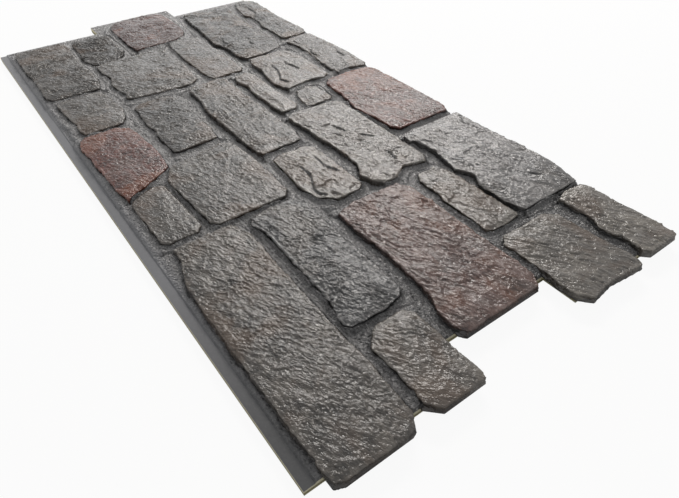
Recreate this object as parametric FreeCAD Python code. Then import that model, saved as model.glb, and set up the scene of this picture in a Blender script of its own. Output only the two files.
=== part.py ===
import FreeCAD, Part
import os

# Interlocking faux stone wall panel, moulded in one piece from rigid polyurethane.
# Millimetres. X runs along the courses, +Y is up the wall, +Z is out of the wall.
# The origin is the middle of the flat back of the sheet, so the back lies at z = 0.

# The moulded sheet that carries the stones
SHEET_LENGTH = 1219.0
SHEET_HEIGHT = 618.0
BED_THICKNESS = 12.0

# Thin flange along the top edge, where the panel is screwed to the wall
FLANGE_WIDTH = 13.0
FLANGE_THICKNESS = 10.0
FLANGE_SLOPE = 2.0

# Tab on the right end, and the recess on the left end that takes the next panel's tab
TAB_DEPTH = 50.0
TAB_WIDTH = 197.0
TAB_DROP = 219.0
TAB_CLEARANCE = 0.5

# The lower part of every sheet edge is drawn in towards the back
EDGE_RELIEF = 2.0
EDGE_RELIEF_HEIGHT = 5.0

# How far stones reach past the sheet, over the next panel's bare strips
FINGER_LAP = 17.0
RECESS_LAP = 12.0
BOTTOM_LAP = 2.0

# Bare strips that the next panel's stones cover
END_STRIP = 39.0
TAB_STRIP = 32.0
TAB_STONE_MARGIN = 27.0

# Section of a stone: flared side, rounded shoulder, slightly crowned face
SIDE_FLARE = 2.0
SHOULDER_WIDTH = 5.0
SHOULDER_DROP = 2.0
CROWN_INSET = 24.0
CROWN_RISE = 1.5

# Height of a middling stone's face over the bed, and one step up or down from it
FACE_RISE = 12.0
FACE_STEP = 1.0

# Stone outlines are drawn on the sheet divided into this many parts each way:
# across from its left end, and down from its top edge
DIVISIONS = 1000


def across_of(distance):
    """Where a distance from the sheet's left end falls on the drawing."""
    return DIVISIONS * distance / SHEET_LENGTH


def down_of(distance):
    """Where a distance from the sheet's top edge falls on the drawing."""
    return DIVISIONS * distance / SHEET_HEIGHT


def on_sheet(across, down):
    """Turn a place on the drawing into x and y of the panel."""
    x = SHEET_LENGTH * across / DIVISIONS - SHEET_LENGTH / 2
    y = SHEET_HEIGHT / 2 - SHEET_HEIGHT * down / DIVISIONS
    return x, y


# Lines of the drawing that several outlines share
finger_end = across_of(-FINGER_LAP)
recess_end = across_of(TAB_DEPTH - RECESS_LAP)
right_end = across_of(SHEET_LENGTH - END_STRIP)
tab_end = across_of(SHEET_LENGTH + TAB_DEPTH - TAB_STRIP)
tab_stone_top = down_of(TAB_DROP + TAB_STONE_MARGIN)
tab_stone_foot = down_of(TAB_DROP + TAB_WIDTH - TAB_STONE_MARGIN)
foot = down_of(SHEET_HEIGHT + BOTTOM_LAP)


def closed_wire(points):
    """A closed polygon through points in space."""
    corners = [FreeCAD.Vector(*point) for point in points]
    return Part.makePolygon(corners + corners[:1])


def sheet_outline(inset, height):
    """The sheet's outline with its tab and its recess, drawn in by an inset."""
    left = -SHEET_LENGTH / 2 + inset
    right = SHEET_LENGTH / 2 - inset
    top = SHEET_HEIGHT / 2 - inset
    bottom = -SHEET_HEIGHT / 2 + inset
    tab_top = SHEET_HEIGHT / 2 - TAB_DROP
    tab_foot = tab_top - TAB_WIDTH
    gap = TAB_CLEARANCE + inset
    corners = [
        (left, top), (right, top),
        (right, tab_top - inset), (right + TAB_DEPTH, tab_top - inset),
        (right + TAB_DEPTH, tab_foot + inset), (right, tab_foot + inset),
        (right, bottom), (left, bottom),
        (left, tab_foot - gap), (left + TAB_DEPTH + TAB_CLEARANCE, tab_foot - gap),
        (left + TAB_DEPTH + TAB_CLEARANCE, tab_top + gap), (left, tab_top + gap),
    ]
    return closed_wire([(x, y, height) for x, y in corners])


def make_sheet():
    """The flat sheet: relieved lower edge, square upper edge, thinner top flange."""
    lower = Part.makeLoft(
        [sheet_outline(EDGE_RELIEF, 0), sheet_outline(0, EDGE_RELIEF_HEIGHT)], True, True)
    upper_face = Part.Face(sheet_outline(0, EDGE_RELIEF_HEIGHT))
    upper = upper_face.extrude(FreeCAD.Vector(0, 0, BED_THICKNESS - EDGE_RELIEF_HEIGHT))
    edge = SHEET_HEIGHT / 2
    end = SHEET_LENGTH / 2 + TAB_DEPTH
    flange_cut = closed_wire([
        (-end, edge + FLANGE_WIDTH, FLANGE_THICKNESS),
        (-end, edge - FLANGE_WIDTH, FLANGE_THICKNESS),
        (-end, edge - FLANGE_WIDTH - FLANGE_SLOPE, BED_THICKNESS),
        (-end, edge + FLANGE_WIDTH, BED_THICKNESS),
    ])
    above_flange = Part.Face(flange_cut).extrude(FreeCAD.Vector(2 * end, 0, 0))
    return lower.fuse(upper).cut(above_flange).removeSplitter()


def resized(outline, inset):
    """Draw an outline in on all sides, about the middle of its box."""
    xs = [x for x, y in outline]
    ys = [y for x, y in outline]
    middle_x = (min(xs) + max(xs)) / 2
    middle_y = (min(ys) + max(ys)) / 2
    keep_x = 1 - 2 * inset / (max(xs) - min(xs))
    keep_y = 1 - 2 * inset / (max(ys) - min(ys))
    return [(middle_x + (x - middle_x) * keep_x, middle_y + (y - middle_y) * keep_y)
            for x, y in outline]


def make_stone(level, lean, drawing):
    """One stone, lofted from the bed through its widest line and its rim to its crown.

    level is the face's height in steps over or under a middling stone, and lean is how
    many hundredths the face climbs to the right and up the wall.
    """
    rise = FACE_RISE + level * FACE_STEP
    outline = [on_sheet(across, down) for across, down in drawing]
    middle_x = sum(x for x, y in outline) / len(outline)
    middle_y = sum(y for x, y in outline) / len(outline)

    def on_face(inset, drop):
        ring = []
        for x, y in resized(outline, inset):
            climb = (lean[0] * (x - middle_x) + lean[1] * (y - middle_y)) / 100
            ring.append((x, y, BED_THICKNESS + rise + climb - drop))
        return closed_wire(ring)

    base = closed_wire([(x, y, BED_THICKNESS) for x, y in resized(outline, -SIDE_FLARE)])
    widest = on_face(0, SHOULDER_DROP)
    rim = on_face(SHOULDER_WIDTH, 0)
    crown = on_face(CROWN_INSET, -CROWN_RISE)
    return Part.makeLoft([base, widest, rim, crown], True, True)


# Left end: finger stones that reach over the next panel's bare end strip
top_finger = make_stone(-1, (0.2, -0.4), [
    (finger_end - 2, 58), (finger_end + 2, 39), (49, 36), (164, 36), (246, 39), (269, 50),
    (283, 63), (308, 65), (310, 207), (283, 227), (205, 223), (49, 220), (-1, 216),
    (finger_end, 201), (finger_end - 2, 191)])
upper_finger = make_stone(-1, (-0.5, 0.3), [
    (finger_end - 1, 267), (-1, 240), (12, 248), (70, 244), (86, 269), (91, 291),
    (90, 353), (79, 367), (-9, 369), (finger_end - 1, 363)])
recess_stone = make_stone(0, (0.2, 0.2), [
    (recess_end, tab_stone_top + 17), (recess_end + 7, tab_stone_top + 7), (69, 405),
    (92, 424), (164, 432), (215, 426), (250, 430), (258, 485), (256, 618), (238, 639),
    (44, 639), (recess_end, tab_stone_foot - 10)])
lower_finger = make_stone(-1, (-0.4, -0.3), [
    (finger_end, 687), (-1, 664), (21, 660), (49, 665), (97, 662), (106, 686),
    (106, 819), (94, 846), (-9, 855), (finger_end - 1, 849), (finger_end + 1, 805),
    (finger_end + 4, 752)])
foot_finger = make_stone(0, (-0.3, 0.6), [
    (finger_end + 4, 905), (-2, 889), (25, 895), (34, 882), (51, 880), (62, 896),
    (111, 896), (117, 926), (116, foot - 16), (105, foot - 3), (-3, foot),
    (finger_end + 4, foot - 5)])

# Left half of the field
grey_block = make_stone(1, (0.4, -0.2), [
    (102, 246), (109, 235), (148, 249), (271, 254), (290, 244), (304, 256), (308, 307),
    (307, 366), (287, 387), (115, 387), (106, 372), (100, 324)])
left_small = make_stone(-1, (-0.6, 0.5), [
    (120, 683), (125, 668), (197, 668), (207, 676), (243, 676), (257, 696), (256, 748),
    (240, 770), (123, 770), (119, 728)])
bottom_grey = make_stone(2, (0.3, -0.5), [
    (123, 796), (148, 780), (192, 780), (209, 803), (233, 782), (281, 799), (313, 794),
    (320, 780), (336, 782), (341, 825), (340, foot - 6), (240, foot), (231, foot + 6),
    (167, foot + 6), (123, foot - 15)])
cleft_stone = make_stone(1, (-0.8, 0.6), [
    (274, 461), (289, 427), (317, 414), (361, 419), (395, 424), (401, 453), (400, 531),
    (389, 550), (283, 550), (274, 531)])
broad_stone = make_stone(1, (0.2, 0.3), [
    (266, 597), (281, 579), (300, 570), (322, 591), (353, 595), (399, 589), (481, 578),
    (486, 602), (484, 744), (469, 765), (287, 765), (271, 748), (281, 686), (267, 641)])

# Top edge of the field
top_small = make_stone(-2, (0.4, -0.6), [
    (322, 68), (330, 52), (415, 50), (423, 65), (436, 123), (430, 146), (331, 152), (322, 136)])
top_red = make_stone(0, (0.3, 0.2), [
    (427, 52), (448, 44), (492, 40), (543, 37), (576, 32), (595, 39), (604, 58), (605, 149),
    (594, 180), (566, 189), (509, 196), (466, 189), (453, 149), (441, 110)])
top_block = make_stone(-1, (-0.3, -0.4), [
    (615, 68), (630, 60), (650, 66), (674, 57), (730, 53), (736, 71), (736, 191),
    (707, 199), (658, 207), (633, 196), (616, 178)])
top_right = make_stone(0, (0.3, 0.2), [
    (747, 52), (761, 39), (824, 42), (874, 37), (952, 37), (right_end, 52),
    (right_end, 207), (939, 214), (874, 207), (824, 215), (774, 212), (747, 197)])

# Middle of the field
wide_block = make_stone(1, (0.4, 0.2), [
    (317, 191), (325, 173), (410, 163), (436, 163), (461, 193), (472, 311), (476, 350),
    (464, 379), (427, 387), (330, 385), (318, 366)])
centre_block = make_stone(0, (-0.4, 0.3), [
    (491, 246), (495, 231), (548, 227), (564, 236), (581, 228), (646, 238), (655, 262),
    (657, 333), (651, 359), (625, 372), (574, 369), (525, 369), (495, 361)])
middle_long = make_stone(2, (0.2, -0.3), [
    (415, 417), (443, 405), (494, 406), (568, 403), (609, 417), (646, 417), (656, 440),
    (658, 531), (646, 550), (576, 547), (510, 550), (443, 553), (417, 540)])
right_block = make_stone(1, (0.2, 0.4), [
    (678, 256), (686, 241), (701, 251), (720, 239), (745, 235), (766, 251), (796, 241),
    (824, 239), (832, 262), (832, 392), (837, 456), (827, 485), (740, 489),
    (684, 479), (671, 447), (674, 332)])
right_small = make_stone(-2, (-0.5, -0.4), [
    (838, 262), (845, 241), (860, 230), (881, 223), (896, 231), (948, 236),
    (right_end, 249), (right_end, 333), (960, 366), (874, 369), (853, 351), (839, 320)])
tab_stone = make_stone(1, (-0.2, 0.3), [
    (855, tab_stone_top + 10), (874, tab_stone_top), (948, tab_stone_top),
    (976, tab_stone_top), (tab_end - 21, tab_stone_top + 13), (tab_end - 7, 434),
    (tab_end - 2, 461), (tab_end, 534), (tab_end, 595), (tab_end - 10, 621),
    (924, tab_stone_foot - 3), (889, 618), (870, 599), (857, 550)])
right_low = make_stone(0, (0.3, -0.3), [
    (669, 528), (679, 515), (766, 511), (824, 515), (848, 524), (854, 570), (850, 621),
    (817, 638), (742, 642), (679, 641), (669, 625)])
slim_stone = make_stone(1, (0.6, -0.2), [
    (500, 592), (505, 583), (559, 579), (589, 576), (605, 587), (633, 573), (649, 583),
    (651, 625), (638, 644), (576, 641), (510, 647), (500, 631)])
little_block = make_stone(-1, (-0.6, 0.6), [
    (494, 683), (499, 670), (514, 672), (533, 681), (548, 696), (550, 744), (543, 765),
    (500, 765), (494, 751)])

# Bottom edge of the field
bottom_red = make_stone(2, (-0.3, 0.3), [
    (356, 803), (368, 786), (397, 785), (446, 773), (463, 782), (494, 793), (537, 799),
    (548, 822), (552, 906), (548, foot - 23), (537, foot - 6), (492, foot - 3),
    (369, foot - 2), (356, foot - 19)])
flaked_stone = make_stone(1, (0.3, 0.4), [
    (561, 683), (587, 663), (628, 672), (648, 683), (681, 680), (696, 696), (697, 812),
    (687, 841), (643, 851), (571, 850), (561, 822), (568, 780)])
right_broad = make_stone(0, (0.2, 0.3), [
    (706, 696), (719, 675), (763, 676), (796, 659), (874, 672), (952, 681),
    (right_end, 696), (right_end, 841), (958, 871), (897, 861), (824, 858), (742, 858),
    (715, 838), (706, 767)])
bottom_block = make_stone(1, (0.2, -0.5), [
    (564, 882), (610, 877), (651, 892), (692, 892), (724, 880), (733, 906), (736, 961),
    (730, foot - 10), (674, foot), (633, foot + 5), (566, foot - 1), (559, foot - 14),
    (566, 930)])
bottom_right = make_stone(1, (-0.2, -0.4), [
    (743, 906), (750, 888), (824, 888), (837, 898), (874, 898), (898, 888), (939, 905),
    (right_end - 5, 922), (right_end, 948), (right_end - 7, foot - 6), (939, foot),
    (898, foot - 5), (837, foot - 11), (759, foot - 3), (745, foot - 19), (740, 955)])

stones = [
    top_finger, upper_finger, recess_stone, lower_finger, foot_finger,
    grey_block, left_small, bottom_grey, cleft_stone, broad_stone,
    top_small, top_red, top_block, top_right,
    wide_block, centre_block, middle_long, right_block, right_small, tab_stone, right_low,
    slim_stone, little_block,
    bottom_red, flaked_stone, right_broad, bottom_block, bottom_right,
]

panel = make_sheet().multiFuse(stones).removeSplitter()

os.makedirs("parts", exist_ok=True)
panel.exportStep("parts/panel.step")

box = panel.BoundBox
print("solids", len(panel.Solids), "faces", len(panel.Faces), "valid", panel.isValid())
print("size", round(box.XLength, 1), round(box.YLength, 1), round(box.ZLength, 1))
print("volume in litres", round(panel.Volume / 1e6, 3))
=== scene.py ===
import math

import bmesh
import bpy
from mathutils import Matrix, Vector, noise
from mathutils.bvhtree import BVHTree


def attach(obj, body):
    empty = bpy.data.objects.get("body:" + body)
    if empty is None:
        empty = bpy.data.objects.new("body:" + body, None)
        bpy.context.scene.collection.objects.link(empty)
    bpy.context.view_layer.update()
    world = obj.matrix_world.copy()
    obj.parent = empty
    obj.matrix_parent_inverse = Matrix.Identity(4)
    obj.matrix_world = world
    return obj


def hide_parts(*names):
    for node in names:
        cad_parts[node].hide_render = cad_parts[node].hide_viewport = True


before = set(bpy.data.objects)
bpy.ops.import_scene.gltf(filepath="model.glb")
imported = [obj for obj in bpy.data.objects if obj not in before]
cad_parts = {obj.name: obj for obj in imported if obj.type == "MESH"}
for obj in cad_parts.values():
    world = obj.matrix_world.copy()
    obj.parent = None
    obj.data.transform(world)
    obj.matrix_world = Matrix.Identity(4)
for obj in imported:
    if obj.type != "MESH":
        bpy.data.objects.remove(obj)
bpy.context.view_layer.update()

# The camera
# It looks down along the panel from above its left end. Its lens, height and place
# were worked out from the straight edges of the sheet, the tab and the recess.
CAMERA_PLACE = (-0.8220, 0.4234, 0.5324)
CAMERA_TURN = math.radians(-126.41)
CAMERA_DIP = math.radians(42.032)
CAMERA_ROLL = math.radians(-0.084)
LENS = 29.792
SENSOR_WIDTH = 36.0
CLIP_FROM = 0.01

camera_data = bpy.data.cameras.new("camera")
camera_data.sensor_fit = "HORIZONTAL"
camera_data.sensor_width = SENSOR_WIDTH
camera_data.lens = LENS
camera_data.clip_start = CLIP_FROM
camera = bpy.data.objects.new("camera", camera_data)
bpy.context.scene.collection.objects.link(camera)
camera.matrix_world = (
    Matrix.Translation(CAMERA_PLACE)
    @ Matrix.Rotation(CAMERA_TURN, 4, "Z")
    @ Matrix.Rotation(math.pi / 2 - CAMERA_DIP, 4, "X")
    @ Matrix.Rotation(CAMERA_ROLL, 4, "Z"))
bpy.context.scene.camera = camera


# The studio
# A pale floor under the panel, a soft even sky, one soft lamp beyond the far end that
# gives the paint its sheen, and a low lit backdrop that edges the far rims with light.
MM = 0.001
WHITE = "#ffffff"
SKY_LEVEL = 0.27
FLOOR_REACH = 8.0
FLOOR_DROP = 0.3 * MM
FLOOR_GLOW = 0.93
KEY_WATTS = 65.0
KEY_COLOUR = "#fffaf5"
KEY_WIDTH = 1.7
KEY_TALL = 0.5
KEY_DISTANCE = 3.2
KEY_HEIGHT = math.radians(42)
KEY_TURN = math.radians(8)
BACKDROP_WATTS = 24.0
BACKDROP_WIDTH = 3.6
BACKDROP_TALL = 1.5
BACKDROP_DISTANCE = 3.6
BACKDROP_HEIGHT = math.radians(15)
BACKDROP_TURN = 0.0


def colour(code):
    """The linear colour that a socket takes for an sRGB hex colour."""
    channels = [int(code[i:i + 2], 16) / 255 for i in (1, 3, 5)]
    linear = [c / 12.92 if c <= 0.04045 else ((c + 0.055) / 1.055) ** 2.4 for c in channels]
    return (*linear, 1.0)


def add_node(tree, kind, sockets=None, **settings):
    """Add a node; a socket given another node's output is linked to it."""
    made = tree.nodes.new(kind)
    for name, value in settings.items():
        setattr(made, name, value)
    for name, value in (sockets or {}).items():
        if isinstance(value, bpy.types.NodeSocket):
            tree.links.new(value, made.inputs[name])
        else:
            made.inputs[name].default_value = value
    return made


scene = bpy.context.scene
scene.view_settings.view_transform = "Standard"

world = bpy.data.worlds.new("studio_sky")
world.use_nodes = True
sky_tree = world.node_tree
sky_tree.nodes.clear()
ray = add_node(sky_tree, "ShaderNodeLightPath")
lit = add_node(sky_tree, "ShaderNodeBackground", {"Color": colour(WHITE), "Strength": SKY_LEVEL})
white = add_node(sky_tree, "ShaderNodeBackground", {"Color": colour(WHITE), "Strength": 1.0})
shown = add_node(sky_tree, "ShaderNodeMath", {
    0: ray.outputs["Is Camera Ray"], 1: ray.outputs["Is Glossy Ray"]}, operation="MAXIMUM")
seen = add_node(sky_tree, "ShaderNodeMixShader", {0: shown.outputs[0]})
sky_tree.links.new(lit.outputs[0], seen.inputs[1])
sky_tree.links.new(white.outputs[0], seen.inputs[2])
add_node(sky_tree, "ShaderNodeOutputWorld", {"Surface": seen.outputs[0]})
scene.world = world

floor_mesh = bmesh.new()
bmesh.ops.create_grid(floor_mesh, x_segments=1, y_segments=1, size=FLOOR_REACH)
bmesh.ops.translate(floor_mesh, verts=floor_mesh.verts, vec=(0, 0, -FLOOR_DROP))
floor_data = bpy.data.meshes.new("floor")
floor_mesh.to_mesh(floor_data)
floor_mesh.free()
floor = bpy.data.objects.new("floor", floor_data)
scene.collection.objects.link(floor)

# White studio paper: matt, with a glow that only the camera sees, so that it shows white
floor_paper = bpy.data.materials.new("white_paper_floor")
floor_paper.use_nodes = True
paper_tree = floor_paper.node_tree
paper = paper_tree.nodes["Principled BSDF"]
paper.inputs["Base Color"].default_value = colour("#f4f4f4")
paper.inputs["Roughness"].default_value = 0.9
glow = add_node(paper_tree, "ShaderNodeEmission", {"Color": colour(WHITE), "Strength": 1.0})
floor_ray = add_node(paper_tree, "ShaderNodeLightPath")
share = add_node(paper_tree, "ShaderNodeMath",
                 {0: floor_ray.outputs["Is Camera Ray"], 1: FLOOR_GLOW}, operation="MULTIPLY")
paper_mix = add_node(paper_tree, "ShaderNodeMixShader", {0: share.outputs[0]})
paper_tree.links.new(paper.outputs[0], paper_mix.inputs[1])
paper_tree.links.new(glow.outputs[0], paper_mix.inputs[2])
paper_tree.links.new(paper_mix.outputs[0], paper_tree.nodes["Material Output"].inputs["Surface"])
floor_data.materials.append(floor_paper)

ahead = Vector((math.sin(-CAMERA_TURN), math.cos(CAMERA_TURN), 0.0))
lamps = (
    ("key", KEY_WATTS, KEY_COLOUR, KEY_WIDTH, KEY_TALL, KEY_DISTANCE, KEY_HEIGHT, KEY_TURN),
    ("backdrop", BACKDROP_WATTS, WHITE, BACKDROP_WIDTH, BACKDROP_TALL,
     BACKDROP_DISTANCE, BACKDROP_HEIGHT, BACKDROP_TURN),
)
for name, watts, tint, width, tall, far, height, turn in lamps:
    lamp_data = bpy.data.lights.new(name, "AREA")
    lamp_data.color = colour(tint)[:3]
    lamp_data.shape = "RECTANGLE"
    lamp_data.size = width
    lamp_data.size_y = tall
    lamp_data.energy = watts
    lamp = bpy.data.objects.new(name, lamp_data)
    scene.collection.objects.link(lamp)
    toward = Matrix.Rotation(-turn, 3, "Z") @ ahead
    lamp_from = far * (math.cos(height) * toward + math.sin(height) * Vector((0, 0, 1)))
    facing = lamp_from.to_track_quat("Z", "Y").to_matrix().to_4x4()
    lamp.matrix_world = Matrix.Translation(lamp_from) @ facing


# The stones
# Twenty-eight squared rubble stones, moulded in one with the sheet from rigid
# polyurethane and painted. Each is cut from the model and given its rough face.
SHEET_LENGTH = 1219.0
SHEET_HEIGHT = 618.0
BED = 12.0 * MM
ROOT = 11.5 * MM
ROOT_SLACK = 0.3 * MM
MERGE = 0.001 * MM

# Width of the small faces of the near stones and of the others, and where the near ones end
NEAR_GRID = 1.3 * MM
FAR_GRID = 1.7 * MM
NEAR_TO = -220 * MM

# How far the grain is turned from the panel's length, at its left and at its right end,
# and how far it turns from one stone to the next
GRAIN_TURN = math.radians(25)
FAR_GRAIN_TURN = math.radians(50)
TURN_FROM = -300 * MM
TURN_TO = 300 * MM
LENGTHWISE_TURN = math.radians(0)
GRAIN_SPREAD = math.radians(8)
SPREAD_STEP = 2.4

# The middle of each stone, across from the left end and down from the top edge (mm)
STONES = {
    "top_finger": (180, 80), "upper_finger": (47, 188), "recess_stone": (177, 322),
    "lower_finger": (55, 468), "foot_finger": (65, 582), "grey_block": (248, 192),
    "left_small": (229, 444), "bottom_grey": (282, 553), "cleft_stone": (411, 298),
    "broad_stone": (458, 413), "top_small": (462, 62), "top_red": (629, 70),
    "top_block": (823, 80), "top_right": (1045, 78), "wide_block": (483, 170),
    "centre_block": (699, 185), "middle_long": (654, 295), "right_block": (919, 223),
    "right_small": (1100, 183), "tab_stone": (1140, 317), "right_low": (928, 356),
    "slim_stone": (701, 377), "little_block": (636, 443), "bottom_red": (553, 548),
    "flaked_stone": (767, 468), "right_broad": (1020, 472), "bottom_block": (792, 583),
    "bottom_right": (1041, 584),
}

# How much of a stone's face is split into flat chipped facets; the rest have little
FLAKED = {
    "recess_stone": 0.7, "cleft_stone": 1.0, "broad_stone": 0.9, "flaked_stone": 1.0,
    "right_broad": 0.8, "bottom_block": 1.0, "bottom_right": 0.9, "right_block": 0.9,
    "left_small": 0.7, "slim_stone": 0.5, "wide_block": 0.5, "bottom_grey": 0.6,
    "centre_block": 0.6, "foot_finger": 0.6, "middle_long": 0.5,
}

# Clefts, each along a few points across and down; the side towards the top is lower
CLEFTS = {
    "flaked_stone": (((703, 437), (725, 428), (740, 437), (765, 446), (793, 448)),
                     ((742, 487), (765, 484), (780, 479), (795, 481))),
    "bottom_block": (((728, 545), (745, 541), (762, 547)), ((778, 558), (795, 554), (812, 560)),
                     ((738, 604), (757, 601), (777, 607))),
    "bottom_right": (((1068, 570), (1085, 578), (1132, 580)),),
    "right_broad": (((948, 430), (965, 427), (984, 432)), ((915, 478), (926, 474), (938, 478))),
    "cleft_stone": (((348, 280), (360, 270), (375, 270), (395, 280), (410, 287), (442, 287)),
                    ((388, 333), (415, 320), (452, 322))),
    "broad_stone": (((358, 425), (390, 430), (383, 462)), ((438, 441), (460, 423)),
                    ((478, 413), (515, 404))),
    "bottom_grey": (((186, 581), (208, 567)),),
}

# How much lighter or darker than the rest a stone is painted, as a share of the ramp
TONES = {
    "foot_finger": 0.28, "bottom_grey": 0.18, "right_broad": -0.30, "bottom_right": -0.25,
    "tab_stone": -0.34, "right_small": -0.24, "centre_block": -0.20, "left_small": 0.15,
    "broad_stone": 0.08, "cleft_stone": 0.15, "slim_stone": 0.03, "bottom_red": -0.16,
    "middle_long": -0.09, "bottom_block": -0.13, "grey_block": -0.08, "wide_block": -0.08,
    "lower_finger": 0.10, "top_right": -0.10, "top_red": -0.12, "top_small": -0.08,
    "upper_finger": 0.05, "right_block": -0.07, "little_block": -0.05, "top_finger": -0.04,
    "right_low": -0.08, "top_block": -0.02,
}

# How strong the grain of a stone's face is, as a share of the usual
COARSENESS = {
    "top_small": 0.5, "top_red": 0.65, "top_block": 0.85, "centre_block": 0.75,
    "right_block": 0.7, "tab_stone": 0.5, "right_low": 0.5, "right_broad": 0.8,
    "slim_stone": 0.45, "lower_finger": 0.85, "bottom_block": 0.7, "top_right": 1.6,
    "right_small": 1.9, "grey_block": 1.4, "recess_stone": 1.2, "foot_finger": 1.4,
    "cleft_stone": 0.95, "bottom_grey": 1.05, "upper_finger": 0.7, "wide_block": 0.6,
    "middle_long": 1.1, "bottom_red": 0.9, "broad_stone": 0.7, "flaked_stone": 0.8,
    "top_finger": 0.9, "left_small": 0.9,
}

# Stones whose grain runs in long waves
LONG_GRAINED = ("recess_stone", "lower_finger", "foot_finger", "slim_stone", "left_small",
                "bottom_grey", "right_broad", "bottom_red", "right_low", "flaked_stone")

# Stones whose grain runs along the panel; on the others it slants
LENGTHWISE = ("left_small", "cleft_stone", "top_small", "wide_block", "middle_long",
              "slim_stone", "little_block", "flaked_stone", "bottom_block", "bottom_right")

# How many times longer the grain is along its own direction, usually and in long waves
STRETCH = 1.4
LONG_STRETCH = 2.8

# How much flatter the slow swell of the far stones is, and where that starts and is full
CALMER = 0.45
CALM_FROM = -250 * MM
CALM_TO = 50 * MM

# A ridge of the grain: its width as a share of the noise, its height and its foot
RIDGE_WIDTH = 0.3
RIDGE_HEIGHT = 0.55
RIDGE_FOOT = 0.15

# Forms of a stone's face: length along the grain, width over it and height (mm)
SLOW_SWELL = (50, 50, 1.5)
WAVES = (26, 12, 0.9)
LONG_RIDGES = (22, 12, 1.6)
BROAD_GRAIN = (11, 7.5, 1.35)
MIDDLE_GRAIN = (6.2, 4.0, 1.3)
FINE_GRAIN = (3.6, 2.6, 1.2)
GRIT = (2.6, 1.8, 0.25)
WORKED_PATCHES = (34, 22, 1.0)
BROKEN_PATCHES = (9, 6, 1.0)

# Slow bends in the grain and in the edges of the facets: their width and reach (mm)
BEND_SIZE = 14
GRAIN_BEND = 3.5
FACET_BEND = 4

# Flat chipped facets: size, tilt and step (mm), how far apart in the noise their tilts are
# read, and the share of them on a stone that isn't flaked
FACET_LENGTH = 27
FACET_WIDTH = 21
FACET_TILT = 3.4
FACET_STEP = 1.1
FACET_SCATTER = 31.0
FEWEST_FACETS = 0.35

# Forms of a stone's side and rim, of the same three measures, and the raised lip of the rim
RAGGED = (22, 22, 2.4)
NICKS = (8, 8, 1.7)
CHIPS = (15, 15, 1.0)
CHIP_DEPTH = 2.6
LIP = 1.3

# How much of the swell is lost at the rim, and how much of the grain is left on a side
RIM_CALM = 0.5
SIDE_GRAIN = 0.65

# Each form is read from a layer of the noise of its own. The stones' layers are this far
# apart, and down a side they change over this depth (mm)
LAYERS_APART = 40.0
LAYER_DEPTH = 8

# How far a surface faces up, 0 on a side and 1 on a face, where each form starts and is full
RIM_TURN = (0.985, 0.90)
GRAIN_FULL = (0.2, 0.6)
SIDE_TURN = (0.93, 0.55)
LIP_BELOW = (0.3, 0.6)
LIP_ABOVE = (0.975, 0.88)
RIM_HIGHLIGHT_ABOVE = (0.975, 0.9)
DARK_SIDE_TURN = (0.5, 0.1)
FACE_UP = 0.4

# The relief fades out just over the bed
RELIEF_FROM = BED + 0.3 * MM
RELIEF_FULL = BED + 4.0 * MM

# Painted shade on the sides is weaker at the left end and along the flange than in the joints
OPEN_SIDE_SHADE = 0.45
LEFT_END = (-612.0, -598.0)
TOP_ROW = (275.0, 255.0)

# A cleft: the step down on one side of its line, the lip on the other and the gap between,
# # each with its reach from the line, then where its ends taper and where it gets painted shade (mm)
CLEFT_STEP = 1.7
STEP_REACH = 15.0
CLEFT_LIP = 0.5
CLEFT_LIP_REACH = 8.0
CLEFT_DEPTH = 2.3
CLEFT_WIDTH = 2.2
CLEFT_ENDS = (-3.0, 9.0)
CLEFT_BAND = (18.0, 12.0)
CLEFT_SHADE = (2.6, 0.6)

# The bends of the grain are drawn from this seed, so every run gives the same stones
GRAIN_SEED = 11
noise.seed_set(GRAIN_SEED)


def on_panel(across, down):
    """A place given across from the left end and down from the top edge, in metres."""
    return Vector(((across - SHEET_LENGTH / 2) * MM, (SHEET_HEIGHT / 2 - down) * MM, 0.0))


def fade(value, start, end):
    """0 at start, 1 at end, smooth in between and level beyond them."""
    share = min(max((value - start) / (end - start), 0.0), 1.0)
    return share * share * (3.0 - 2.0 * share)


def wrinkled(along, over, layer):
    """Height of thin sharp ridges with flat ground between them, from -0.15 to 0.4."""
    ridge = max(1.0 - abs(noise.noise(Vector((along, over, layer)))) / RIDGE_WIDTH, 0.0)
    return RIDGE_HEIGHT * ridge * ridge - RIDGE_FOOT


def waves(along, over, layer, form):
    """Height of soft waves of a form."""
    length, width, height = form
    return noise.noise(Vector((along / length, over / width, layer))) * height


def ridges(along, over, layer, form):
    """Height of thin sharp ridges of a form."""
    length, width, height = form
    return wrinkled(along / length, over / width, layer) * height


def faceted(spot, layer):
    """Height of flat chipped facets, each with its own tilt."""
    at = Vector((spot.x / FACET_LENGTH, spot.y / FACET_WIDTH, layer))
    centre = noise.voronoi(at)[1][0]
    tilt = noise.cell_vector(centre * FACET_SCATTER) - Vector((0.5, 0.5, 0.5))
    away = at - centre
    return (away.x * tilt.x + away.y * tilt.y) * FACET_TILT + tilt.z * FACET_STEP


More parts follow.
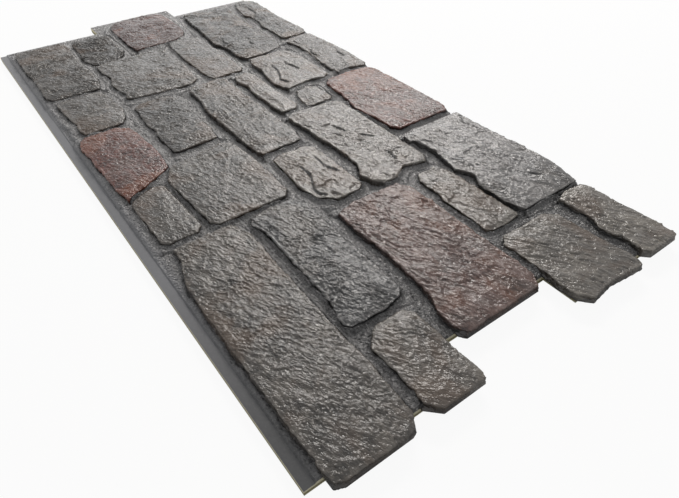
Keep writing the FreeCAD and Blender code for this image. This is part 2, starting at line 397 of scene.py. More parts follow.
def relief(spot, number, turn, flaked, coarse, stretch):
    """The slow swell and the rough grain at a place on a stone, in millimetres."""
    layer = LAYERS_APART * number + spot.z / LAYER_DEPTH
    bend = noise.noise_vector(Vector((spot.x / BEND_SIZE, spot.y / BEND_SIZE, layer)))
    along = (spot.x * math.cos(turn) + spot.y * math.sin(turn)) / stretch
    along += bend.x * GRAIN_BEND
    over = spot.y * math.cos(turn) - spot.x * math.sin(turn) + bend.y * GRAIN_BEND
    swell = waves(spot.x, spot.y, layer, SLOW_SWELL)
    swell += waves(along, over, layer, WAVES)
    swell += ridges(along, over, layer + 6, LONG_RIDGES)
    facets = FEWEST_FACETS + (1.0 - FEWEST_FACETS) * flaked
    swell += faceted(spot + bend * FACET_BEND, layer) * facets
    rough = ridges(along, over, layer + 2, BROAD_GRAIN) * coarse
    rough += ridges(along, over, layer, MIDDLE_GRAIN) * coarse
    rough += ridges(along, over, layer + 9, FINE_GRAIN) / stretch
    rough += waves(along, over, layer + 5, GRIT)

    # The grain is strong in patches, and is broken up into short pieces in them
    rough *= 0.45 + 0.95 * fade(waves(along, over, layer + 3, WORKED_PATCHES), -0.3, 0.35)
    rough *= 0.5 + 0.95 * fade(waves(along, over, layer + 11, BROKEN_PATCHES), -0.3, 0.3)
    return swell, rough


def worn_side(spot, normal, number):
    """How far a stone's side and rim stand out or are chipped away, in millimetres."""
    layer = LAYERS_APART * number
    ragged = waves(spot.x, spot.y, layer + 7, RAGGED) + waves(spot.x, spot.y, layer + 8, NICKS)
    ragged -= CHIP_DEPTH * fade(waves(spot.x, spot.y, layer + 5, CHIPS), 0.05, 0.5)
    exposed = 0.5 + 0.5 * fade(normal.y, 0.2, 0.7)
    lip = LIP * fade(normal.z, *LIP_BELOW) * fade(normal.z, *LIP_ABOVE)
    return ragged * exposed * fade(normal.z, *SIDE_TURN) + lip


def cleft(spot, lines):
    """How the clefts change a face's height in millimetres, and how much painted shade they get there.
    """
    change = 0.0
    dark = 0.0
    for line in lines:
        runs = [math.dist(a, b) for a, b in zip(line, line[1:])]
        gone = 0.0
        best = None
        for (a, b), run in zip(zip(line, line[1:]), runs):
            step = ((b[0] - a[0]) / run, (b[1] - a[1]) / run)
            reach = (spot[0] - a[0]) * step[0] + (spot[1] - a[1]) * step[1]
            reach = min(max(reach, 0.0), run)
            foot = (a[0] + step[0] * reach, a[1] + step[1] * reach)
            off = math.dist(spot, foot)
            above = (spot[0] - a[0]) * step[1] - (spot[1] - a[1]) * step[0]
            if best is None or off < best[0]:
                best = (off, above, gone + reach)
            gone += run
        off, above, way = best
        taper = fade(min(way, gone - way), *CLEFT_ENDS) * fade(off, *CLEFT_BAND)
        if above > 0:
            change -= CLEFT_STEP * fade(off, STEP_REACH, 0.0) * taper
        else:
            change += CLEFT_LIP * fade(off, CLEFT_LIP_REACH, 0.0) * taper
        change -= CLEFT_DEPTH * fade(off, CLEFT_WIDTH, 0.0) * taper
        # The dark in a cleft's gap is painted shade
        dark = max(dark, fade(off, *CLEFT_SHADE) * taper)
    return change, dark


# The model's faces over the bed, which fall apart into the twenty-eight stones
shells = bmesh.new()
shells.from_mesh(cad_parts["panel"].data)
bmesh.ops.remove_doubles(shells, verts=shells.verts, dist=MERGE)
flat_faces = [f for f in shells.faces if all(v.co.z < BED + MERGE for v in f.verts)]
bmesh.ops.delete(shells, geom=flat_faces, context="FACES")
loose = [v for v in shells.verts if not v.link_faces]
bmesh.ops.delete(shells, geom=loose, context="VERTS")
shells.faces.index_update()
stone_sides = BVHTree.FromBMesh(shells)


def islands(mesh):
    """The groups of faces of a mesh that hang together."""
    seen = set()
    groups = []
    for first in mesh.faces:
        if first in seen:
            continue
        seen.add(first)
        group = [first]
        for face in group:
            for edge in face.edges:
                for other in edge.link_faces:
                    if other not in seen:
                        seen.add(other)
                        group.append(other)
        groups.append(group)
    return groups


def cut_stone(group):
    """One stone as a closed mesh of its own, from its group of faces."""
    stone = bmesh.new()
    made = {}
    for face in group:
        corners = []
        for vertex in face.verts:
            if vertex not in made:
                made[vertex] = stone.verts.new(vertex.co)
            corners.append(made[vertex])
        stone.faces.new(corners)
    rim = [edge for edge in stone.edges if edge.is_boundary]
    skirt = bmesh.ops.extrude_edge_only(stone, edges=rim)["geom"]
    for vertex in skirt:
        if isinstance(vertex, bmesh.types.BMVert):
            vertex.co.z = ROOT
    bmesh.ops.holes_fill(stone, edges=[e for e in stone.edges if e.is_boundary], sides=0)
    bmesh.ops.triangulate(stone, faces=stone.faces)
    bmesh.ops.recalc_face_normals(stone, faces=stone.faces)
    return stone


def finely_meshed(stone, name):
    """The stone remeshed to small even faces, with one large face left underneath."""
    rough_data = bpy.data.meshes.new(name)
    stone.to_mesh(rough_data)
    stone.free()
    rough = bpy.data.objects.new(name, rough_data)
    scene.collection.objects.link(rough)
    remesh = rough.modifiers.new("even_grid", "REMESH")
    remesh.mode = "VOXEL"
    remesh.voxel_size = NEAR_GRID if on_panel(*STONES[name]).x < NEAR_TO else FAR_GRID
    bpy.context.view_layer.update()
    fine_data = bpy.data.meshes.new_from_object(
        rough.evaluated_get(bpy.context.evaluated_depsgraph_get()))
    bpy.data.objects.remove(rough)
    bpy.data.meshes.remove(rough_data)
    fine = bmesh.new()
    fine.from_mesh(fine_data)
    bpy.data.meshes.remove(fine_data)
    underside = [f for f in fine.faces if all(v.co.z < ROOT + ROOT_SLACK for v in f.verts)]
    bmesh.ops.delete(fine, geom=underside, context="FACES")
    bmesh.ops.holes_fill(fine, edges=[e for e in fine.edges if e.is_boundary], sides=0)
    bmesh.ops.recalc_face_normals(fine, faces=fine.faces)
    return fine


stone_pieces = {}
stone_of_face = {}
for group in islands(shells):
    corners = [vertex.co for face in group for vertex in face.verts]
    middle = sum(corners, Vector()) / len(corners)
    name = min(STONES, key=lambda n: (on_panel(*STONES[n]) - middle).xy.length)
    number = list(STONES).index(name)
    stone_of_face.update({face.index: name for face in group})
    from_middle = on_panel(*STONES[name]).x
    calm = 1.0 - CALMER * fade(from_middle, CALM_FROM, CALM_TO)
    coarse = COARSENESS.get(name, 1.0)
    stretch = LONG_STRETCH if name in LONG_GRAINED else STRETCH
    turn = GRAIN_TURN + (FAR_GRAIN_TURN - GRAIN_TURN) * fade(from_middle, TURN_FROM, TURN_TO)
    if name in LENGTHWISE:
        turn = LENGTHWISE_TURN
    turn += GRAIN_SPREAD * math.sin(SPREAD_STEP * number)
    stone = finely_meshed(cut_stone(group), name)
    stone.normal_update()
    crest_and_highlight = stone.verts.layers.float.new("crest_and_highlight")
    side = stone.verts.layers.float.new("side")
    painted_cleft_shade = stone.verts.layers.float.new("painted_cleft_shade")
    moves = []
    for vertex in stone.verts:
        spot = vertex.co / MM
        up = vertex.normal.z
        swell, rough = relief(spot, number, turn, FLAKED.get(name, 0.0), coarse, stretch)
        height = swell * calm * (1.0 - RIM_CALM * fade(up, *RIM_TURN))
        height += rough * (SIDE_GRAIN + (1.0 - SIDE_GRAIN) * fade(up, *GRAIN_FULL))
        height += worn_side(spot, vertex.normal, number)
        if name in CLEFTS and up > FACE_UP:
            place = (spot.x + SHEET_LENGTH / 2, SHEET_HEIGHT / 2 - spot.y)
            change, vertex[painted_cleft_shade] = cleft(place, CLEFTS[name])
            height += change
        height *= fade(vertex.co.z, RELIEF_FROM, RELIEF_FULL)
        moves.append(vertex.normal * height * MM)
        # The crest lightens ridges and rims as painted highlight and darkens hollows as painted shade
        vertex[crest_and_highlight] = 0.5 + 0.4 * rough + 0.3 * fade(up, *LIP_BELOW) * fade(up, *RIM_HIGHLIGHT_ABOVE)
        # The side value carries the sides' dark ground and painted shade, strongest in the joints
        in_joint = fade(spot.x, *LEFT_END) * fade(spot.y, *TOP_ROW)
        vertex[side] = fade(up, *DARK_SIDE_TURN) * (OPEN_SIDE_SHADE + (1.0 - OPEN_SIDE_SHADE) * in_joint)
    for vertex, move in zip(stone.verts, moves):
        vertex.co += move
    stone_data = bpy.data.meshes.new("stone_" + name)
    stone.to_mesh(stone_data)
    stone.free()
    stone_data.polygons.foreach_set("use_smooth", [True] * len(stone_data.polygons))
    piece = bpy.data.objects.new("stone_" + name, stone_data)
    scene.collection.objects.link(piece)
    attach(piece, "root")
    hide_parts("panel")
    stone_pieces[name] = piece


# The paint of the stones
# Thin coats of exterior acrylic on the moulding, sponged in taupe over a darker ground that
# shows in the hollows. Hollows, clefts and sides are darkened further with painted shade, and
# ridges and rims lightened with painted highlight. It dries with a soft sheen.

# Widths of the paint's clouds, sponge marks and earthy patches, and of the grit under it
CLOUDS = 60 * MM
MOTTLE = 9 * MM
SPONGE_MARKS = 30 * MM
SPONGE_STRETCH = 2.4
EARTHY_PATCHES = 85 * MM
PAINT_GRIT = 3.6 * MM
PAINT_GRIT_STRETCH = 2.0
PAINT_GRIT_DEPTH = 1.9 * MM

# Mortar spray on the foot of the stones, up to these heights and uneven by this much
SPRAYED = "#3f4043"
SPRAY_FULL = BED + 3.0 * MM
SPRAY_END = BED + 6.0 * MM
SPRAY_UNEVEN = 4 * MM
# How dark the sides are painted: their darker ground together with painted shade
SIDE_GROUND_AND_SHADE = 0.8

# Usual gloss, and how much glossier a stone is for a whole step of its tone
GLOSS = 0.5
GLOSS_OF_TONE = 0.47


def stone_paint(name, shift, ground, light, dark, earth, veil, shade):
    """A sponged acrylic paint in the tones of one stone colour, shifted for one stone."""
    material = bpy.data.materials.new(name)
    material.use_nodes = True
    tree = material.node_tree
    shader = tree.nodes["Principled BSDF"]
    place = add_node(tree, "ShaderNodeTexCoord").outputs["Object"]
    crest_and_highlight = add_node(tree, "ShaderNodeAttribute", attribute_name="crest_and_highlight").outputs["Fac"]

    # The tone: clouds and mottle, with painted highlight on the ridges and rims and painted shade
    #     # in the hollows
    clouds = add_node(tree, "ShaderNodeTexNoise", {
        "Vector": place, "Scale": 1 / CLOUDS, "Detail": 5.0, "Roughness": 0.6}).outputs["Fac"]
    mottle = add_node(tree, "ShaderNodeTexNoise", {
        "Vector": place, "Scale": 1 / MOTTLE, "Detail": 4.0, "Roughness": 0.6}).outputs["Fac"]
    tone = add_node(tree, "ShaderNodeMath", {0: clouds, 1: mottle}, operation="ADD").outputs[0]
    tone = add_node(tree, "ShaderNodeMapRange", {
        "Value": tone, "From Min": 0.6, "From Max": 1.4, "To Min": 0.26, "To Max": 0.74},
        clamp=False).outputs[0]
    painted_light_lift = add_node(tree, "ShaderNodeMapRange", {
        "Value": crest_and_highlight, "From Min": 0.2, "From Max": 0.9, "To Min": -0.10, "To Max": 0.18})
    tone = add_node(tree, "ShaderNodeMath",
                    {0: tone, 1: painted_light_lift.outputs[0]}, operation="ADD").outputs[0]
    tone = add_node(tree, "ShaderNodeMath", {0: tone, 1: shift}, operation="ADD").outputs[0]
    ramp = add_node(tree, "ShaderNodeValToRGB", {"Fac": tone})
    ramp.color_ramp.elements[0].position = 0.30
    ramp.color_ramp.elements[0].color = colour(dark)
    ramp.color_ramp.elements[1].position = 0.85
    ramp.color_ramp.elements[1].color = colour(light)
    middle = ramp.color_ramp.elements.new(0.5)
    middle.color = colour(ground)

    # Earthy patches, and a thin veil dabbed over them with the sponge
    patches = add_node(tree, "ShaderNodeTexNoise", {
        "Vector": place, "Scale": 1 / EARTHY_PATCHES, "Detail": 3.0,
        "Distortion": 0.6}).outputs["Fac"]
    patches = add_node(tree, "ShaderNodeMapRange", {
        "Value": patches, "From Min": 0.50, "From Max": 0.62, "To Max": 0.75}).outputs[0]
    earthy = add_node(tree, "ShaderNodeMix", {
        "Factor": patches, 6: ramp.outputs["Color"], 7: colour(earth)}, data_type="RGBA")
    sponged_place = add_node(tree, "ShaderNodeMapping", {
        "Vector": place, "Rotation": (0, 0, GRAIN_TURN), "Scale": (SPONGE_STRETCH, 1, 1)},
        vector_type="TEXTURE").outputs[0]
    sponged = add_node(tree, "ShaderNodeTexNoise", {
        "Vector": sponged_place, "Scale": 1 / SPONGE_MARKS, "Detail": 5.0, "Roughness": 0.6,
        "Distortion": 0.8}).outputs["Fac"]
    sponged = add_node(tree, "ShaderNodeMapRange", {
        "Value": sponged, "From Min": 0.50, "From Max": 0.62, "To Max": 0.55}).outputs[0]
    earthy = add_node(tree, "ShaderNodeMix", {
        "Factor": sponged, 6: earthy.outputs[2], 7: colour(veil)}, data_type="RGBA")

    # The sides' dark ground with painted shade, strongest in the joints, painted shade in the clefts,
    # # and the mortar spray at the sides' foot
    side = add_node(tree, "ShaderNodeAttribute", attribute_name="side").outputs["Fac"]
    painted_cleft_shade = add_node(tree, "ShaderNodeAttribute", attribute_name="painted_cleft_shade").outputs["Fac"]
    foot = add_node(tree, "ShaderNodeSeparateXYZ", {"Vector": place}).outputs["Z"]
    uneven = add_node(tree, "ShaderNodeMapRange", {
        "Value": clouds, "From Min": 0.3, "From Max": 0.7,
        "To Min": -SPRAY_UNEVEN, "To Max": SPRAY_UNEVEN})
    foot = add_node(tree, "ShaderNodeMath", {0: foot, 1: uneven.outputs[0]}).outputs[0]
    near_bed = add_node(tree, "ShaderNodeMapRange", {
        "Value": foot, "From Min": SPRAY_FULL, "From Max": SPRAY_END,
        "To Min": 1.0, "To Max": 0.0}, interpolation_type="SMOOTHSTEP").outputs[0]
    ground_and_shade = add_node(tree, "ShaderNodeMath", {0: side, 1: SIDE_GROUND_AND_SHADE}, operation="MULTIPLY").outputs[0]
    ground_and_shade = add_node(tree, "ShaderNodeMath", {0: ground_and_shade, 1: painted_cleft_shade}, operation="MAXIMUM").outputs[0]
    painted = add_node(tree, "ShaderNodeMix", {
        "Factor": ground_and_shade, 6: earthy.outputs[2], 7: colour(shade)}, data_type="RGBA")
    low = add_node(tree, "ShaderNodeMath", {0: side, 1: near_bed}, operation="MULTIPLY").outputs[0]
    painted = add_node(tree, "ShaderNodeMix", {
        "Factor": low, 6: painted.outputs[2], 7: colour(SPRAYED)}, data_type="RGBA")
    tree.links.new(painted.outputs[2], shader.inputs["Base Color"])

    # Grit, drawn coarser than the real one so that it shows, and the uneven soft sheen
    grain_place = add_node(tree, "ShaderNodeMapping", {
        "Vector": place, "Rotation": (0, 0, GRAIN_TURN), "Scale": (PAINT_GRIT_STRETCH, 1, 1)},
        vector_type="TEXTURE").outputs[0]
    fine = add_node(tree, "ShaderNodeTexNoise", {
        "Vector": grain_place, "Scale": 1 / PAINT_GRIT, "Detail": 2.0, "Roughness": 0.55,
        "Distortion": 0.5}).outputs["Fac"]
    bump = add_node(tree, "ShaderNodeBump", {
        "Height": fine, "Strength": 1.0, "Distance": PAINT_GRIT_DEPTH})
    tree.links.new(bump.outputs[0], shader.inputs["Normal"])
    gloss = add_node(tree, "ShaderNodeMapRange", {
        "Value": mottle, "From Min": 0.3, "From Max": 0.7, "To Min": 0.15, "To Max": 0.30})
    tree.links.new(gloss.outputs[0], shader.inputs["Roughness"])
    shader.inputs["Specular IOR Level"].default_value = GLOSS + GLOSS_OF_TONE * shift
    return material


# Ground, light, dark, earthy, veil and shade of each paint, and the stones that aren't taupe
PAINTS = {
    "taupe": ("#544f4a", "#8c867e", "#302d2a", "#5f4f42", "#5f5b57", "#161412"),
    "mauve": ("#5e4640", "#97847e", "#372623", "#694331", "#645955", "#1c1412"),
    "rust": ("#693b30", "#9b7367", "#3c2019", "#763f23", "#674e46", "#1c1412"),
    "ash": ("#525151", "#8a8785", "#2f2f2f", "#544e48", "#5f5f60", "#141414"),
}
PAINTED = {
    "recess_stone": "mauve", "top_red": "rust", "tab_stone": "rust", "bottom_red": "rust",
    "grey_block": "ash", "bottom_grey": "ash",
}
for name, piece in stone_pieces.items():
    paint = PAINTED.get(name, "taupe")
    piece.data.materials.append(
        stone_paint("acrylic_" + paint + "_" + name, TONES.get(name, 0.0), *PAINTS[paint]))


# The sheet
# The flat moulding that carries the stones, with its screw flange, tab and recess.
# Its face is brushed like mortar between the stones; its trimmed edges are bare.
FLANGE_WIDTH = 13.0
FLANGE_SLOPE = 2.0
FLANGE = 10.0 * MM
TAB_DEPTH = 50.0
TAB_TOP = 219.0
TAB_FOOT = 416.0
CLEARANCE = 0.5

# The lower part of each edge is drawn in, by less than on the model, so that its olive
# # band, painted shade, shows
RELIEF_HEIGHT = 5.0 * MM
RELIEF_INSET = 0.6

# Width of the small faces of the sheet, and how near a line lies to count as on a mark (mm)
SHEET_GRID = 1.75
MARK_SLACK = 0.01

# A face whose normal rises less than this is an edge, and one this deep in a stone is hidden
UPRIGHT = 0.3
HIDDEN_DEPTH = 4 * MM
CLEAR = 0.01 * MM

# Brushed mortar: width of its slow swell, its strokes and its grit, their heights and how
# far the strokes bend (mm), and where up the wall they end at the flange
BRUSHED_SWELL = 16.0
BRUSHED_SWELL_HEIGHT = 0.5
BRUSHED_BEND = 5
STROKES = 4.8
STROKE_HEIGHT = 2.2
BRUSHED_GRIT = 3.0
BRUSHED_GRIT_HEIGHT = 1.0
FLANGE_EDGE = (297.0, 290.0)

# How far a stone's rim stands over the mortar, how uneven that is and over what width, how
# much less it is on sides that face the left end, and how much more on deep sides (mm)
REVEAL = 3.0
REVEAL_UNEVEN = 1.4
REVEAL_PATCHES = 20.0
LEFT_FILL = 1.0
DEEP_REVEAL = 4.5

# Where a stone's rim is felt for, from this far inside its side and from over the panel
RIM_INSET = 5 * MM
OVER_ALL = 44 * MM
MIDDLING_RIM = 10.0

# How full the middle of a joint is near the left end and further along, the places along
# the panel between which that changes, and the reach of the fill and of its fillet (mm)
FILL_NEAR = 0.5
FILL_FAR = 0.7
FILL_CHANGE = (-200.0, 150.0)
FILL_REACH = (20.0, 11.0)
FILLET = (5.0, 0.0)

# Stones whose side towards the top edge stands clear of the mortar
DEEP_SIDED = ("broad_stone", "recess_stone", "slim_stone", "right_broad", "middle_long",
              "flaked_stone", "bottom_grey", "top_finger", "foot_finger")


def lines_through(marks):
    """Evenly spaced lines about one grid apart that include every mark."""
    lines = [marks[0]]
    for start, end in zip(marks, marks[1:]):
        steps = max(1, round((end - start) / SHEET_GRID))
        lines += [start + (end - start) * step / steps for step in range(1, steps + 1)]
    return lines


across_lines = lines_through([0, TAB_DEPTH + CLEARANCE, SHEET_LENGTH, SHEET_LENGTH + TAB_DEPTH])
down_lines = lines_through([
    0, FLANGE_WIDTH, FLANGE_WIDTH + FLANGE_SLOPE, TAB_TOP - CLEARANCE, TAB_TOP,
    TAB_FOOT, TAB_FOOT + CLEARANCE, SHEET_HEIGHT])
columns = len(across_lines) - 1
rows = len(down_lines) - 1

# A square grid one unit wide, whose rows and columns are then spread out to the lines
sheet = bmesh.new()
bmesh.ops.create_grid(sheet, x_segments=columns, y_segments=rows, size=0.5)
joint = sheet.verts.layers.float.new("joint")
for vertex in sheet.verts:
    across = across_lines[round((vertex.co.x + 0.5) * columns)]
    down = down_lines[round((0.5 - vertex.co.y) * rows)]
    flange_share = fade(down, FLANGE_WIDTH, FLANGE_WIDTH + FLANGE_SLOPE)
    vertex.co = on_panel(across, down)
    vertex.co.z = FLANGE + (BED - FLANGE) * flange_share


def off_sheet(middle):
    """True where the recess or the room beside the tab leaves no sheet."""
    across = middle.x / MM + SHEET_LENGTH / 2
    down = SHEET_HEIGHT / 2 - middle.y / MM
    beside_tab = across > SHEET_LENGTH and not TAB_TOP < down < TAB_FOOT
    in_recess = (across < TAB_DEPTH + CLEARANCE
                 and TAB_TOP - CLEARANCE < down < TAB_FOOT + CLEARANCE)
    return beside_tab or in_recess


outside = [f for f in sheet.faces if off_sheet(f.calc_center_median())]
bmesh.ops.delete(sheet, geom=outside, context="FACES")
loose = [v for v in sheet.verts if not v.link_faces]
bmesh.ops.delete(sheet, geom=loose, context="VERTS")

# The foot of each edge is drawn in, and what lies between the edges moves with them
ACROSS_MARKS = (0, TAB_DEPTH + CLEARANCE, SHEET_LENGTH, SHEET_LENGTH + TAB_DEPTH)
ACROSS_SHIFTS = (RELIEF_INSET, RELIEF_INSET, -RELIEF_INSET, -RELIEF_INSET)
DOWN_MARKS = (0, TAB_TOP - CLEARANCE, TAB_TOP, TAB_FOOT, TAB_FOOT + CLEARANCE, SHEET_HEIGHT)
DOWN_SHIFTS = (RELIEF_INSET, -RELIEF_INSET, RELIEF_INSET,
               -RELIEF_INSET, RELIEF_INSET, -RELIEF_INSET)


def shifted(value, marks, shifts):
    """A value moved by the shifts of the marks on either side of it."""
    for i in range(len(marks) - 1):
        if value <= marks[i + 1] + MARK_SLACK:
            share = (value - marks[i]) / (marks[i + 1] - marks[i])
            return value + shifts[i] + (shifts[i + 1] - shifts[i]) * share


outline = [edge for edge in sheet.edges if edge.is_boundary]
for level in (RELIEF_HEIGHT, 0.0):
    made = bmesh.ops.extrude_edge_only(sheet, edges=outline)["geom"]
    outline = [item for item in made if isinstance(item, bmesh.types.BMEdge)]
    for vertex in made:
        if isinstance(vertex, bmesh.types.BMVert):
            vertex.co.z = level
for vertex in {v for edge in outline for v in edge.verts}:
    across = shifted(vertex.co.x / MM + SHEET_LENGTH / 2, ACROSS_MARKS, ACROSS_SHIFTS)
    down = shifted(SHEET_HEIGHT / 2 - vertex.co.y / MM, DOWN_MARKS, DOWN_SHIFTS)
    vertex.co = on_panel(across, down)
bmesh.ops.holes_fill(sheet, edges=outline, sides=0)

# The sheet's face is left out inside the stones, where nothing shows it
upward = Vector((0, 0, 1))
hidden = []
for face in sheet.faces:
    middle = face.calc_center_median()
    if middle.z < FLANGE - MERGE or len(face.verts) > 4 or abs(face.normal.z) < UPRIGHT:
        continue
    start = middle + upward * CLEAR
    in_stone = stone_sides.ray_cast(start, upward)[0]
    if in_stone and stone_sides.find_nearest(start)[3] > HIDDEN_DEPTH:
        hidden.append(face)
bmesh.ops.delete(sheet, geom=hidden, context="FACES")
bmesh.ops.holes_fill(sheet, edges=[e for e in sheet.edges if e.is_boundary], sides=0)
loose = [v for v in sheet.verts if not v.link_faces]
bmesh.ops.delete(sheet, geom=loose, context="VERTS")
bmesh.ops.recalc_face_normals(sheet, faces=sheet.faces)

# The mortar is brushed, and climbs the sides of the stones on both sides of a joint
for vertex in sheet.verts:
    side_spot, side_normal, side_face, distance = stone_sides.find_nearest(vertex.co)
    distance /= MM
    vertex[joint] = distance
    at_edge = any(abs(f.normal.z) < UPRIGHT for f in vertex.link_faces)
    if vertex.co.z < FLANGE - MERGE or at_edge:
        continue
    spot = vertex.co / MM
    bend = noise.noise_vector(spot / BRUSHED_SWELL) * BRUSHED_BEND
    brushed = noise.noise(spot / BRUSHED_SWELL) * BRUSHED_SWELL_HEIGHT
    brushed += wrinkled(*((spot + bend) / STROKES)) * STROKE_HEIGHT
    brushed += noise.noise(spot / BRUSHED_GRIT) * BRUSHED_GRIT_HEIGHT
    inside = side_spot - side_normal * RIM_INSET
    inside.z = OVER_ALL
    rim = stone_sides.ray_cast(inside, -upward)[0]
    rim_height = (rim.z - BED) / MM if rim else MIDDLING_RIM
    reveal = REVEAL * (1.0 + REVEAL_UNEVEN * noise.noise(spot / REVEAL_PATCHES))
    reveal -= LEFT_FILL * fade(-side_normal.x, 0.3, 0.8)
    if stone_of_face[side_face] in DEEP_SIDED:
        reveal += DEEP_REVEAL * fade(side_normal.y, 0.2, 0.7)
    filled = FILL_NEAR + (FILL_FAR - FILL_NEAR) * fade(spot.x, *FILL_CHANGE)
    climb = max(rim_height - reveal, 0.0) * fade(distance, *FILL_REACH)
    climb *= filled + (1.0 - filled) * fade(distance, *FILLET)
    vertex.co.z += (brushed + climb) * MM * fade(spot.y, *FLANGE_EDGE)

sheet_data = bpy.data.meshes.new("sheet")
sheet.to_mesh(sheet_data)
sheet.free()
sheet_piece = bpy.data.objects.new("sheet", sheet_data)
scene.collection.objects.link(sheet_piece)
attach(sheet_piece, "root")
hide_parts("panel")

# Mortar grey acrylic, brushed and sprayed over the joints, with a soft sheen: pale on the
# # strokes, speckled with painted glints, paler towards the middle as painted sheen, and darker
# # at the left end and close to the stones as painted shade. The flange has one plain coat,
# # darker towards the left end as painted shade.

# Widths of the strokes and of the painted glints, and how deep the strokes look
PAINT_STROKES = 4.0 * MM
GLINT_SIZE = 2.6 * MM
STROKE_DEPTH = 2.4 * MM

# Up the wall: where the joints give way to the plain flange, where the painted sheen fades out,
# # where the left end's painted shade fades out, and where the gloss turns dull
PLAIN_FROM = 280 * MM
PLAIN_TO = 297 * MM
SHEEN_FADE_FROM = 120 * MM
SHEEN_FADE_TO = 270 * MM
TOP_FROM = 240 * MM
TOP_TO = 280 * MM
GLOSSY_TO = 20 * MM
DULL_FROM = 200 * MM

# Along the panel: where the painted sheen grows, and where the painted shade of the joints and of the
# flange fades
SHEEN_FROM = -480 * MM
SHEEN_TO = 0.0
NEAR_DARK_FROM = -560 * MM
NEAR_DARK_TO = -320 * MM
FLANGE_DARK_FROM = -540 * MM
FLANGE_DARK_TO = -280 * MM

# Painted shade in the joint against a stone, by its distance from the stone (mm)
CONTACT_SHADE_FULL = 0.3
CONTACT_SHADE_END = 3.2

mortar = bpy.data.materials.new("acrylic_mortar")
mortar.use_nodes = True
mortar_tree = mortar.node_tree
mortar_shader = mortar_tree.nodes["Principled BSDF"]
place = add_node(mortar_tree, "ShaderNodeTexCoord").outputs["Object"]
strokes = add_node(mortar_tree, "ShaderNodeTexNoise", {
    "Vector": place, "Scale": 1 / PAINT_STROKES, "Detail": 3.0, "Roughness": 0.6,
    "Distortion": 0.8}).outputs["Fac"]
ramp = add_node(mortar_tree, "ShaderNodeValToRGB", {"Fac": strokes})
ramp.color_ramp.elements[0].position = 0.3
ramp.color_ramp.elements[0].color = colour("#4c4b4c")
ramp.color_ramp.elements[1].position = 0.7
ramp.color_ramp.elements[1].color = colour("#a3a2a2")
up_wall = add_node(mortar_tree, "ShaderNodeSeparateXYZ", {"Vector": place}).outputs["Y"]
rough_share = add_node(mortar_tree, "ShaderNodeMapRange", {
    "Value": up_wall, "From Min": PLAIN_FROM, "From Max": PLAIN_TO, "To Min": 1.0, "To Max": 0.06})
along_panel = add_node(mortar_tree, "ShaderNodeSeparateXYZ", {"Vector": place}).outputs["X"]
# Painted sheen: paler towards the middle of the panel, fading out towards the top edge
painted_sheen = add_node(mortar_tree, "ShaderNodeMapRange", {
    "Value": along_panel, "From Min": SHEEN_FROM, "From Max": SHEEN_TO, "To Max": 0.6})
away_from_top = add_node(mortar_tree, "ShaderNodeMapRange", {
    "Value": up_wall, "From Min": SHEEN_FADE_FROM, "From Max": SHEEN_FADE_TO, "To Min": 1.0, "To Max": 0.0})
painted_sheen = add_node(mortar_tree, "ShaderNodeMath", {
    0: painted_sheen.outputs[0], 1: away_from_top.outputs[0]}, operation="MULTIPLY")
sprayed = add_node(mortar_tree, "ShaderNodeMix", {
    "Factor": painted_sheen.outputs[0], 6: ramp.outputs["Color"], 7: colour("#a6a5a5")},
    data_type="RGBA")
off_top = add_node(mortar_tree, "ShaderNodeMapRange", {
    "Value": up_wall, "From Min": TOP_FROM, "From Max": TOP_TO, "To Min": 1.0, "To Max": 0.0})
# The flange's coat is darker towards the left end: painted shade
strip_share = add_node(mortar_tree, "ShaderNodeMapRange", {
    "Value": along_panel, "From Min": FLANGE_DARK_FROM, "From Max": FLANGE_DARK_TO})
strip_tone = add_node(mortar_tree, "ShaderNodeMix", {
    "Factor": strip_share.outputs[0], 6: colour("#3f4042"), 7: colour("#747579")},
    data_type="RGBA")
# Painted shade over the joints at the left end
near_shade = add_node(mortar_tree, "ShaderNodeMapRange", {
    "Value": along_panel, "From Min": NEAR_DARK_FROM, "From Max": NEAR_DARK_TO,
    "To Min": 0.4, "To Max": 0.0})
near_shade = add_node(mortar_tree, "ShaderNodeMath", {
    0: near_shade.outputs[0], 1: off_top.outputs[0]}, operation="MULTIPLY")
sprayed = add_node(mortar_tree, "ShaderNodeMix", {
    "Factor": near_shade.outputs[0], 6: sprayed.outputs[2], 7: colour("#262628")},
    data_type="RGBA")
# Painted glints: small pale specks
painted_glints = add_node(mortar_tree, "ShaderNodeTexNoise", {
    "Vector": place, "Scale": 1 / GLINT_SIZE, "Detail": 2.0}).outputs["Fac"]
painted_glints = add_node(mortar_tree, "ShaderNodeMapRange", {
    "Value": painted_glints, "From Min": 0.62, "From Max": 0.70, "To Max": 0.7}).outputs[0]
sprayed = add_node(mortar_tree, "ShaderNodeMix", {
    "Factor": painted_glints, 6: sprayed.outputs[2], 7: colour("#dad8d6")}, data_type="RGBA")
plain_strip = add_node(mortar_tree, "ShaderNodeMix", {
    "Factor": rough_share.outputs[0], 6: strip_tone.outputs[2], 7: sprayed.outputs[2]},
    data_type="RGBA")
distance = add_node(mortar_tree, "ShaderNodeAttribute", attribute_name="joint").outputs["Fac"]
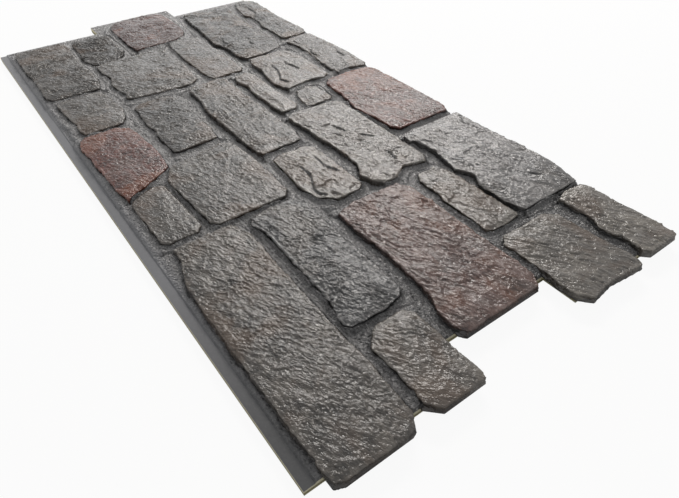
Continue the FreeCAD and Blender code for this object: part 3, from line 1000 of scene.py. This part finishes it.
# Painted shade in the joint where it meets a stone
contact_shade = add_node(mortar_tree, "ShaderNodeMapRange", {
    "Value": distance, "From Min": CONTACT_SHADE_FULL, "From Max": CONTACT_SHADE_END,
    "To Min": 0.65, "To Max": 0.0},
    interpolation_type="SMOOTHSTEP").outputs[0]
joint_paint = add_node(mortar_tree, "ShaderNodeMix", {
    "Factor": contact_shade, 6: plain_strip.outputs[2], 7: colour("#141315")}, data_type="RGBA")
mortar_tree.links.new(joint_paint.outputs[2], mortar_shader.inputs["Base Color"])
dullness = add_node(mortar_tree, "ShaderNodeMapRange", {
    "Value": up_wall, "From Min": GLOSSY_TO, "From Max": DULL_FROM,
    "To Min": 0.18, "To Max": 0.38})
mortar_tree.links.new(dullness.outputs[0], mortar_shader.inputs["Roughness"])
bump = add_node(mortar_tree, "ShaderNodeBump", {
    "Height": strokes, "Strength": rough_share.outputs[0], "Distance": STROKE_DEPTH})
mortar_tree.links.new(bump.outputs[0], mortar_shader.inputs["Normal"])
sheet_data.materials.append(mortar)

# Bare moulded skin, dull and slightly blotched: cream where the mould's lip was trimmed off,
# # along the very foot and underneath, and olive in between: a darker band that is painted
# # shade on the drawn-in part of the edge
CREAM_FROM = RELIEF_HEIGHT + 1.5 * MM
CREAM_FULL = RELIEF_HEIGHT + 2.1 * MM
FOOT_FULL = 1.6 * MM
FOOT_END = 2.2 * MM
BLOTCHES = 12 * MM
BLOTCH_DEPTH = 0.5 * MM

bare = bpy.data.materials.new("bare_polyurethane")
bare.use_nodes = True
bare_tree = bare.node_tree
bare_shader = bare_tree.nodes["Principled BSDF"]
place = add_node(bare_tree, "ShaderNodeTexCoord").outputs["Object"]
level = add_node(bare_tree, "ShaderNodeSeparateXYZ", {"Vector": place}).outputs["Z"]
trimmed = add_node(bare_tree, "ShaderNodeMapRange", {
    "Value": level, "From Min": CREAM_FROM, "From Max": CREAM_FULL})
lowest = add_node(bare_tree, "ShaderNodeMapRange", {
    "Value": level, "From Min": FOOT_FULL, "From Max": FOOT_END, "To Min": 1.0, "To Max": 0.0})
trimmed = add_node(bare_tree, "ShaderNodeMath", {
    0: trimmed.outputs[0], 1: lowest.outputs[0]}, operation="MAXIMUM").outputs[0]
skin = add_node(bare_tree, "ShaderNodeTexNoise", {
    "Vector": place, "Scale": 1 / BLOTCHES, "Detail": 4.0}).outputs["Fac"]
olive_painted_shade = add_node(bare_tree, "ShaderNodeMix", {
    "Factor": skin, 6: colour("#857d58"), 7: colour("#a19a74")}, data_type="RGBA")
bare_tone = add_node(bare_tree, "ShaderNodeMix", {
    "Factor": trimmed, 6: olive_painted_shade.outputs[2], 7: colour("#e9e3c6")}, data_type="RGBA")
bare_tree.links.new(bare_tone.outputs[2], bare_shader.inputs["Base Color"])
bare_bump = add_node(bare_tree, "ShaderNodeBump", {
    "Height": skin, "Strength": 0.3, "Distance": BLOTCH_DEPTH})
bare_tree.links.new(bare_bump.outputs[0], bare_shader.inputs["Normal"])
bare_shader.inputs["Roughness"].default_value = 0.6
sheet_data.materials.append(bare)
for polygon in sheet_data.polygons:
    underneath = polygon.normal.z < -0.5
    in_edge = abs(polygon.normal.z) < 0.95 and polygon.center.z < FLANGE
    if underneath or in_edge:
        polygon.material_index = 1

shells.free()
